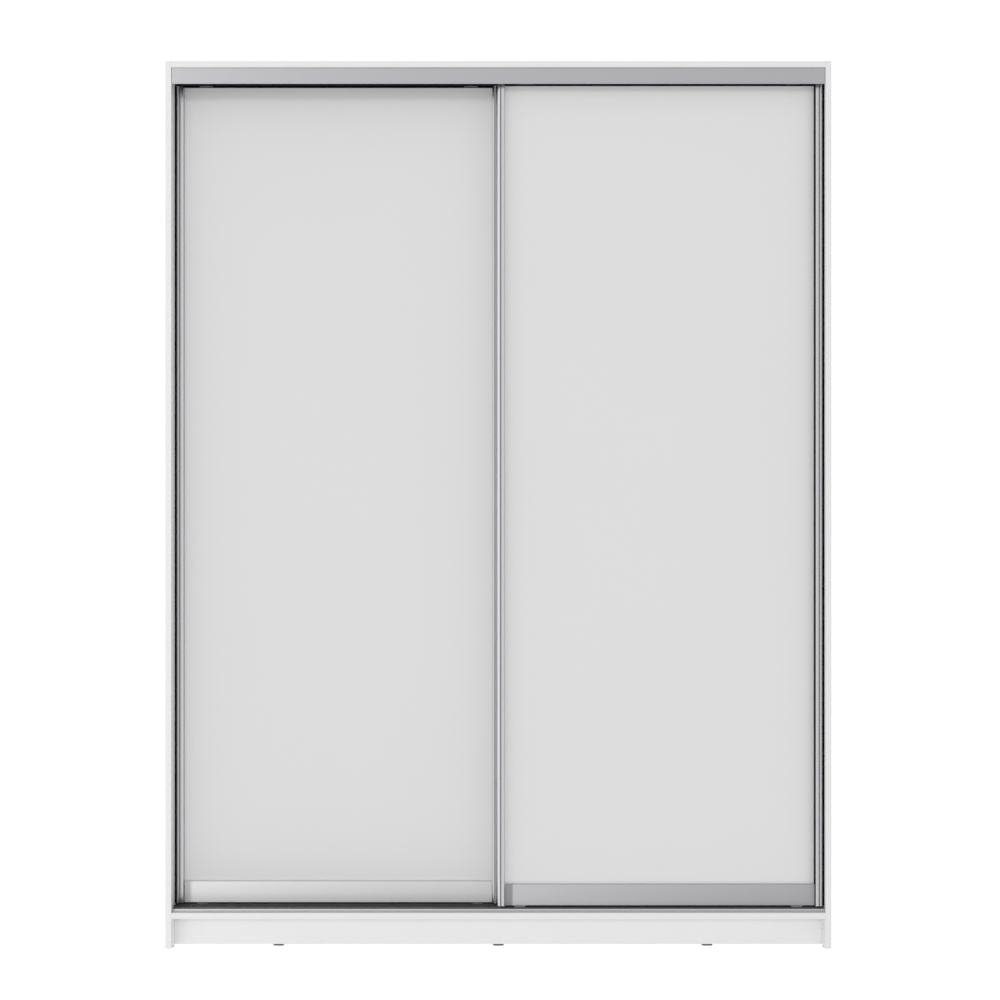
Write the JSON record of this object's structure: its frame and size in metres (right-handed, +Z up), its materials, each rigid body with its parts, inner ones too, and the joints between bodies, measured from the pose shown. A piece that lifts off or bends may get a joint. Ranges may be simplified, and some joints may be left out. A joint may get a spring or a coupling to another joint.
{
  "type": "sliding door wardrobe",
  "caption": "Tall laminated wardrobe with top-guided, bottom-rolling sliding doors in aluminium frames, shelves and a hanging rod.",
  "frame": {"origin": "on the floor, under the middle of the width and of the depth", "axes": "+Z up, -Y out of the front, +X to the right of a person facing the doors"},
  "size_m": [1.8, 0.6, 2.4045],
  "materials": {
    "white_laminate": "white melamine-faced chipboard, fine pearl grain",
    "door_laminate": "white semi-gloss laminated panel",
    "white_hardboard": "white lacquered hardboard",
    "satin_aluminium": "satin anodised",
    "dark_aluminium": "black anodised",
    "chromed_rod": "polished chrome plate",
    "zinc_steel": "bright zinc plate",
    "grey_housing": "grey zinc-plated pressed steel",
    "black_plastic": "moulded, fine texture",
    "white_plastic": "moulded, smooth",
    "wheel_plastic": "moulded nylon, smooth",
    "grey_brush": "woven pile strip"
  },
  "bodies": {
    "carcass": {"side_panel_left": "white_laminate", "side_panel_right": "white_laminate", "top_panel": "white_laminate", "bottom_panel": "white_laminate", "plinth_front": "white_laminate", "plinth_rear": "white_laminate", "plinth_cross_rails": "white_laminate", "centre_partition": "white_laminate", "back_panel_left": "white_hardboard", "back_panel_right": "white_hardboard", "fixed_shelf_left": "white_laminate", "hat_shelf_right": "white_laminate", "loose_shelves_left": "white_laminate", "loose_shelf_right": "white_laminate", "hanging_rod": "chromed_rod", "rod_sockets": "chromed_rod", "rod_socket_screws": "zinc_steel", "bottom_track": "satin_aluminium", "bottom_track_screws": "zinc_steel", "door_stops": "black_plastic", "top_fascia": "satin_aluminium", "top_track": "dark_aluminium", "top_track_screws": "zinc_steel", "floor_glides": "black_plastic", "cabinet_screws": "zinc_steel", "screw_caps": "white_plastic", "shelf_pins": "zinc_steel", "back_nails": "zinc_steel"},
    "left_door": {"left_door_frame_screws": "zinc_steel", "left_door_adjusting_screws": "zinc_steel", "left_door_handle_left": "satin_aluminium", "left_door_handle_right": "satin_aluminium", "left_door_brush_strips": "grey_brush", "left_door_panel": "door_laminate", "left_door_bottom_rail": "satin_aluminium", "left_door_top_rail": "satin_aluminium", "left_door_roller_housings": "grey_housing", "left_door_guide_brackets": "grey_housing", "left_door_axles": "zinc_steel"},
    "left_door_roller_left_wheel": {"left_door_roller_left": "wheel_plastic"},
    "left_door_roller_right_wheel": {"left_door_roller_right": "wheel_plastic"},
    "left_door_guide_left_wheel": {"left_door_guide_left": "wheel_plastic"},
    "left_door_guide_right_wheel": {"left_door_guide_right": "wheel_plastic"},
    "right_door": {"right_door_frame_screws": "zinc_steel", "right_door_adjusting_screws": "zinc_steel", "right_door_handle_left": "satin_aluminium", "right_door_handle_right": "satin_aluminium", "right_door_brush_strips": "grey_brush", "right_door_panel": "door_laminate", "right_door_bottom_rail": "satin_aluminium", "right_door_top_rail": "satin_aluminium", "right_door_roller_housings": "grey_housing", "right_door_guide_brackets": "grey_housing", "right_door_axles": "zinc_steel"},
    "right_door_roller_left_wheel": {"right_door_roller_left": "wheel_plastic"},
    "right_door_roller_right_wheel": {"right_door_roller_right": "wheel_plastic"},
    "right_door_guide_left_wheel": {"right_door_guide_left": "wheel_plastic"},
    "right_door_guide_right_wheel": {"right_door_guide_right": "wheel_plastic"}
  },
  "joints": [
    {"name": "left_door_slide", "type": "slide", "parent": "carcass", "child": "left_door", "axis": [1, 0, 0], "range_m": [0, 0.87]},
    {"name": "right_door_slide", "type": "slide", "parent": "carcass", "child": "right_door", "axis": [1, 0, 0], "range_m": [-0.87, 0]},
    {"name": "left_door_roller_left_turn", "type": "hinge", "parent": "left_door", "child": "left_door_roller_left_wheel", "pos_m": [-0.8115, -0.2145, 0.1208], "axis": [0, 1, 0], "continuous": true},
    {"name": "left_door_roller_right_turn", "type": "hinge", "parent": "left_door", "child": "left_door_roller_right_wheel", "pos_m": [-0.058, -0.2145, 0.1208], "axis": [0, 1, 0], "continuous": true},
    {"name": "left_door_guide_left_turn", "type": "hinge", "parent": "left_door", "child": "left_door_guide_left_wheel", "pos_m": [-0.8, -0.2145, 2.3655], "axis": [0, 0, 1], "continuous": true},
    {"name": "left_door_guide_right_turn", "type": "hinge", "parent": "left_door", "child": "left_door_guide_right_wheel", "pos_m": [-0.075, -0.2145, 2.3655], "axis": [0, 0, 1], "continuous": true},
    {"name": "right_door_roller_left_turn", "type": "hinge", "parent": "right_door", "child": "right_door_roller_left_wheel", "pos_m": [0.058, -0.2565, 0.1208], "axis": [0, 1, 0], "continuous": true},
    {"name": "right_door_roller_right_turn", "type": "hinge", "parent": "right_door", "child": "right_door_roller_right_wheel", "pos_m": [0.8115, -0.2565, 0.1208], "axis": [0, 1, 0], "continuous": true},
    {"name": "right_door_guide_left_turn", "type": "hinge", "parent": "right_door", "child": "right_door_guide_left_wheel", "pos_m": [0.075, -0.2565, 2.3655], "axis": [0, 0, 1], "continuous": true},
    {"name": "right_door_guide_right_turn", "type": "hinge", "parent": "right_door", "child": "right_door_guide_right_wheel", "pos_m": [0.8, -0.2565, 2.3655], "axis": [0, 0, 1], "continuous": true}
  ],
  "couplings": [
    {"joint": "left_door_roller_left_turn", "follows": "left_door_slide", "rad_per_m": 58.824},
    {"joint": "left_door_roller_right_turn", "follows": "left_door_slide", "rad_per_m": 58.824},
    {"joint": "left_door_guide_left_turn", "follows": "left_door_slide", "rad_per_m": 66.667},
    {"joint": "left_door_guide_right_turn", "follows": "left_door_slide", "rad_per_m": 66.667},
    {"joint": "right_door_roller_left_turn", "follows": "right_door_slide", "rad_per_m": 58.824},
    {"joint": "right_door_roller_right_turn", "follows": "right_door_slide", "rad_per_m": 58.824},
    {"joint": "right_door_guide_left_turn", "follows": "right_door_slide", "rad_per_m": 66.667},
    {"joint": "right_door_guide_right_turn", "follows": "right_door_slide", "rad_per_m": 66.667}
  ]
}
